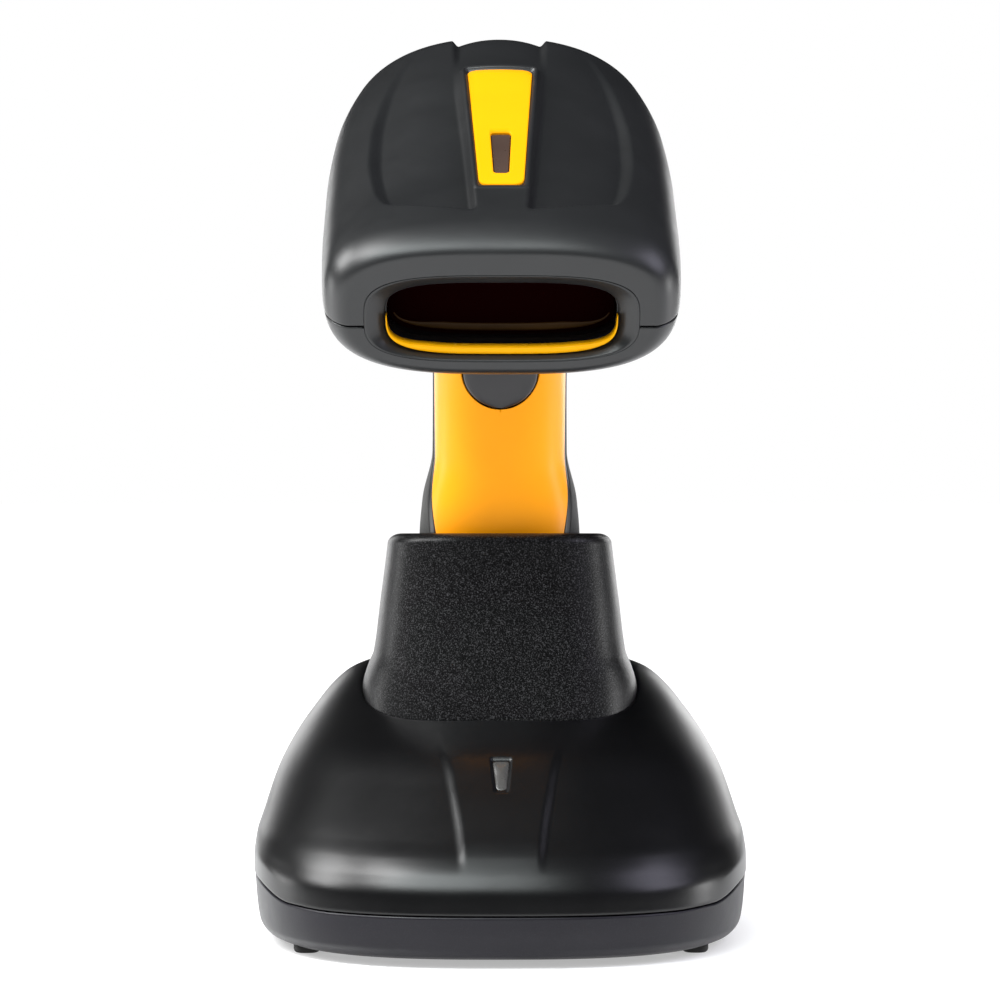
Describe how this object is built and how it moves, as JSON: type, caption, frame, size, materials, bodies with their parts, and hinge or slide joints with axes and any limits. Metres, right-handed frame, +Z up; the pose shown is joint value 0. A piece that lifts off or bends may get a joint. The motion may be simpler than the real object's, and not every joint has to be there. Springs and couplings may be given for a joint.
{
  "type": "handheld barcode scanner",
  "caption": "Cordless pistol-grip barcode scanner standing in a charging cradle, with a pull trigger, a nose window and a lift-out fit in the cradle socket.",
  "frame": {"origin": "under the middle of the cradle, on the surface it stands on", "axes": "+Z up, -Y the front that the nose window faces, +X across"},
  "size_m": [0.0966, 0.115, 0.1785],
  "materials": {
    "head_shell": "satin",
    "handle_yellow": "gloss",
    "accent_yellow": "gloss",
    "grip_rubber": "grained",
    "cradle_shell": "fine grain satin",
    "tray_shell": "satin",
    "gloss_trim": "gloss",
    "scan_glass": "polished",
    "light_lens": "satin",
    "foot_rubber": "matte",
    "trigger_plastic": "satin",
    "plain_steel": "brushed",
    "contact_gold": "polished",
    "circuit_board": "satin",
    "battery_wrap": "satin"
  },
  "bodies": {
    "cradle": {"base_tray": "tray_shell", "base_cover": "cradle_shell", "collar": "cradle_shell", "socket_cup": "cradle_shell", "foot_front_left": "foot_rubber", "foot_front_right": "foot_rubber", "foot_rear_left": "foot_rubber", "foot_rear_right": "foot_rubber", "status_light_pipe": "light_lens", "cradle_board": "circuit_board", "cradle_led": "light_lens", "radio_module": "plain_steel", "ballast_plate": "plain_steel", "data_port": "gloss_trim", "contact_block": "gloss_trim", "base_screw_1": "plain_steel", "base_screw_2": "plain_steel", "base_screw_3": "plain_steel", "base_screw_4": "plain_steel", "collar_screw_1": "plain_steel", "collar_screw_2": "plain_steel"},
    "scanner": {"head_top_shell": "head_shell", "head_bottom_shell": "head_shell", "nose_bezel": "head_shell", "nose_lip": "accent_yellow", "window_frame": "gloss_trim", "scan_window": "scan_glass", "window_gasket": "foot_rubber", "label_plate": "accent_yellow", "label_light_window": "light_lens", "status_light_guide": "light_lens", "main_board": "circuit_board", "scan_engine": "plain_steel", "engine_lens": "gloss_trim", "engine_bracket": "plain_steel", "beeper": "gloss_trim", "head_screw_1": "plain_steel", "head_screw_2": "plain_steel", "handle_front_shell": "handle_yellow", "handle_back_shell": "head_shell", "grip_left": "grip_rubber", "grip_right": "grip_rubber", "end_cap": "gloss_trim", "contact_pad_left": "contact_gold", "contact_pad_right": "contact_gold", "battery_cell": "battery_wrap", "trigger_pin": "plain_steel", "switch_body": "gloss_trim", "trigger_spring": "plain_steel", "handle_screw_lower": "plain_steel", "handle_screw_upper": "plain_steel"},
    "trigger": {"trigger_lever": "trigger_plastic"},
    "switch_plunger": {"switch_plunger": "contact_gold"},
    "charge_pin_left": {"charge_pin_left": "contact_gold"},
    "charge_pin_right": {"charge_pin_right": "contact_gold"}
  },
  "joints": [
    {"name": "scanner_lift", "type": "slide", "parent": "cradle", "child": "scanner", "axis": [0, -0.1736, 0.9848], "range_m": [0, 0.09]},
    {"name": "trigger_pull", "type": "hinge", "parent": "scanner", "child": "trigger", "pos_m": [0, -0.00714, 0.11849], "axis": [1, 0, 0], "range_deg": [0, 7], "stiffness_Nm_per_rad": 0.12, "springref_deg": -5.73},
    {"name": "switch_press", "type": "slide", "parent": "scanner", "child": "switch_plunger", "axis": [0, 0.9848, 0.1736], "range_m": [0, 0.00085]},
    {"name": "charge_pin_left_press", "type": "slide", "parent": "cradle", "child": "charge_pin_left", "axis": [0, -0.1736, 0.9848], "range_m": [-0.0008, 0], "stiffness_N_per_m": 300, "springref_m": 0.0005},
    {"name": "charge_pin_right_press", "type": "slide", "parent": "cradle", "child": "charge_pin_right", "axis": [0, -0.1736, 0.9848], "range_m": [-0.0008, 0], "stiffness_N_per_m": 300, "springref_m": 0.0005}
  ],
  "couplings": [
    {"joint": "switch_press", "follows": "trigger_pull", "m_per_rad": 0.0066}
  ]
}
